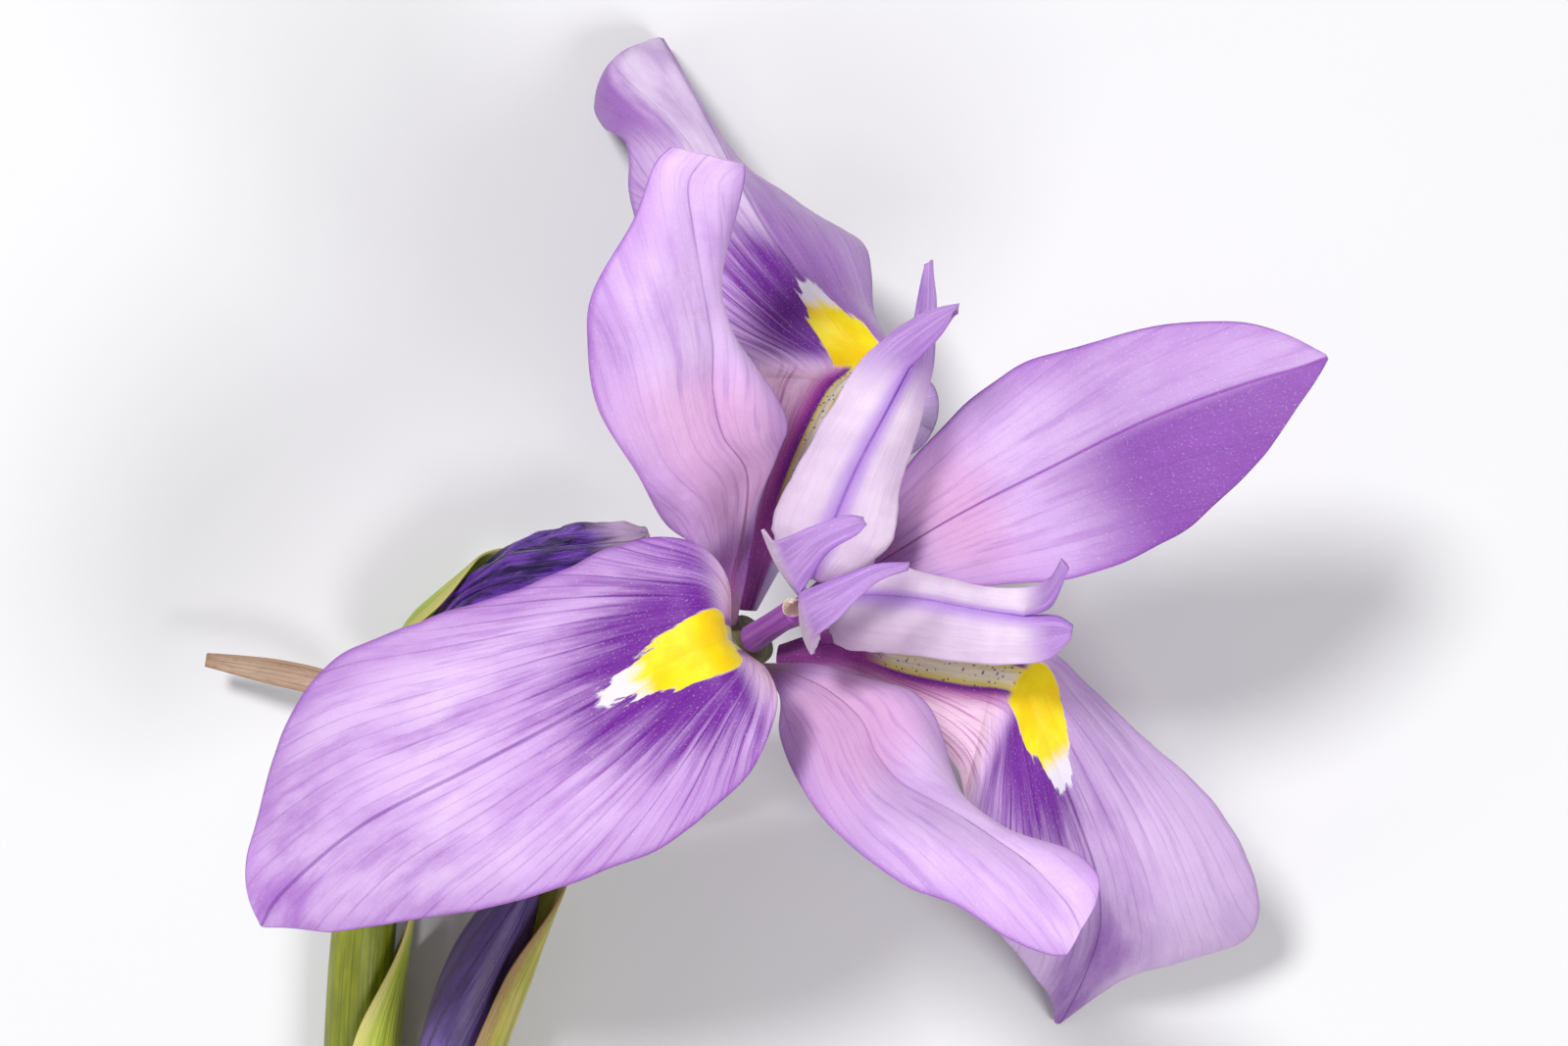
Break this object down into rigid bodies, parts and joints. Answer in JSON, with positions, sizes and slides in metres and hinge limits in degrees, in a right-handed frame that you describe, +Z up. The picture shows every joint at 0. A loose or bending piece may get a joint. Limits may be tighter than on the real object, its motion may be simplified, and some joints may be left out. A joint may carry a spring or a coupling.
{
  "type": "african iris flower",
  "caption": "Cut flowering stem lying on its side, with an open iris-like bloom, petal-like style branches, a bud, spathes and a clasping leaf.",
  "frame": {"origin": "middle of the underside of the bounding box, on the surface the stem lies on", "axes": "+Z up from that surface, +Y from the cut end of the stem towards the bloom"},
  "size_m": [0.0632, 0.0912, 0.0394],
  "materials": {
    "tepal": "soft satin petal",
    "style": "soft satin petal",
    "filament": "soft satin",
    "anther": "matte",
    "green_stem": "soft satin, green stem",
    "green_leaf": "soft satin leaf",
    "bud": "soft satin petal",
    "dry_bract": "dry matte",
    "withered": "dry crinkled"
  },
  "bodies": {
    "root": {"outer_tepal_left": "tepal", "outer_tepal_upper": "tepal", "outer_tepal_lower_right": "tepal", "inner_tepal_right": "tepal", "inner_tepal_upper_left": "tepal", "inner_tepal_lower": "tepal", "style_branch_upper": "style", "style_branch_right": "style", "style_branch_left": "style", "filament_column": "filament", "anther_upper": "anther", "anther_right": "anther", "anther_left": "anther", "ovary": "green_stem", "spathe": "green_leaf", "stem": "green_stem", "sheath_leaf": "green_leaf", "bud": "bud", "bud_spathe": "green_leaf", "dry_bract": "dry_bract", "spent_flower": "withered", "spent_spathe": "green_leaf"}
  },
  "joints": []
}
